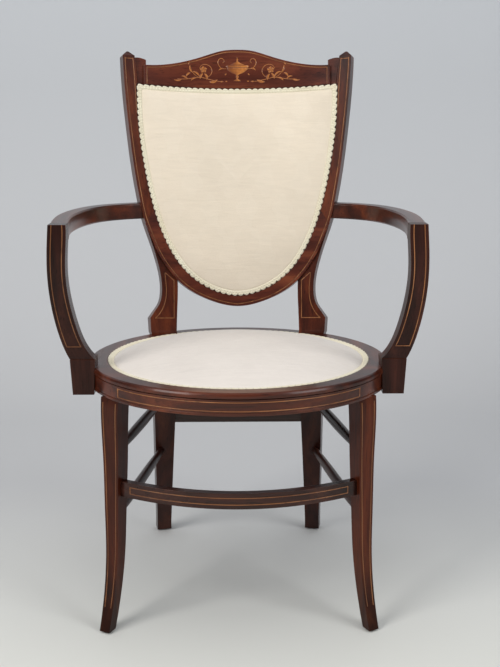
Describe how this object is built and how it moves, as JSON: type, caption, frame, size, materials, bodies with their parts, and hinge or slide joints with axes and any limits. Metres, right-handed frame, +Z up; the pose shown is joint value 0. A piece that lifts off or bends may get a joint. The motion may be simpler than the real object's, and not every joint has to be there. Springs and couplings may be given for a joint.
{
  "type": "shield back chair",
  "caption": "Upholstered elbow chair with a shield-shaped padded back, curved open arms, oval padded seat, slim tapered legs with stretchers, dark polished wood and pale line inlay",
  "frame": {"origin": "Centre of the bounding box in plan, on the floor under the glides", "axes": "Row frame is Z up; the sitter faces -Y; +X is the sitter's left hand, on the right when seen from the front"},
  "size_m": [0.5904, 0.529, 0.9317],
  "materials": {
    "polished_wood": "French-polished red-brown mahogany",
    "inlay": "polished pale satinwood stringing",
    "secondary_wood": "plain beech, unpolished",
    "seat_fabric": "pale self-patterned damask",
    "back_fabric": "warm cream self-patterned damask",
    "braid": "woven cream gimp with a scalloped edge",
    "canvas": "jute webbing and hessian",
    "stuffing": "horsehair under a cotton felt",
    "glide": "dark domed metal",
    "steel": "plain steel"
  },
  "bodies": {
    "root": {"arm_left": "polished_wood", "arm_right": "polished_wood", "arm_support_left": "polished_wood", "arm_support_right": "polished_wood", "arm_tenons": "secondary_wood", "back_cover": "back_fabric", "back_gimp": "braid", "back_hessian": "canvas", "back_stuffing": "stuffing", "back_webbing": "canvas", "bow_stringing": "inlay", "crest_rail": "polished_wood", "crest_stringing": "inlay", "foot_glides": "glide", "front_leg_left": "polished_wood", "front_leg_right": "polished_wood", "front_stretcher": "polished_wood", "front_stretcher_stringing": "inlay", "glue_blocks": "secondary_wood", "leg_stringing": "inlay", "lower_shield_rail": "polished_wood", "lower_side_stretcher_left": "polished_wood", "lower_side_stretcher_right": "polished_wood", "outside_back_cover": "back_fabric", "outside_back_gimp": "braid", "rail_tenons": "secondary_wood", "rear_leg_left": "polished_wood", "rear_leg_right": "polished_wood", "rear_stretcher": "polished_wood", "seat_cover": "seat_fabric", "seat_dust_cloth": "canvas", "seat_gimp": "braid", "seat_hessian": "canvas", "seat_rail_front": "polished_wood", "seat_rail_left": "polished_wood", "seat_rail_rear": "polished_wood", "seat_rail_right": "polished_wood", "seat_rail_stringing": "inlay", "seat_stuffing": "stuffing", "seat_webbing": "canvas", "stile_stringing": "inlay", "support_screws": "steel", "support_stringing": "inlay", "upper_side_stretcher_left": "polished_wood", "upper_side_stretcher_right": "polished_wood"}
  },
  "joints": []
}
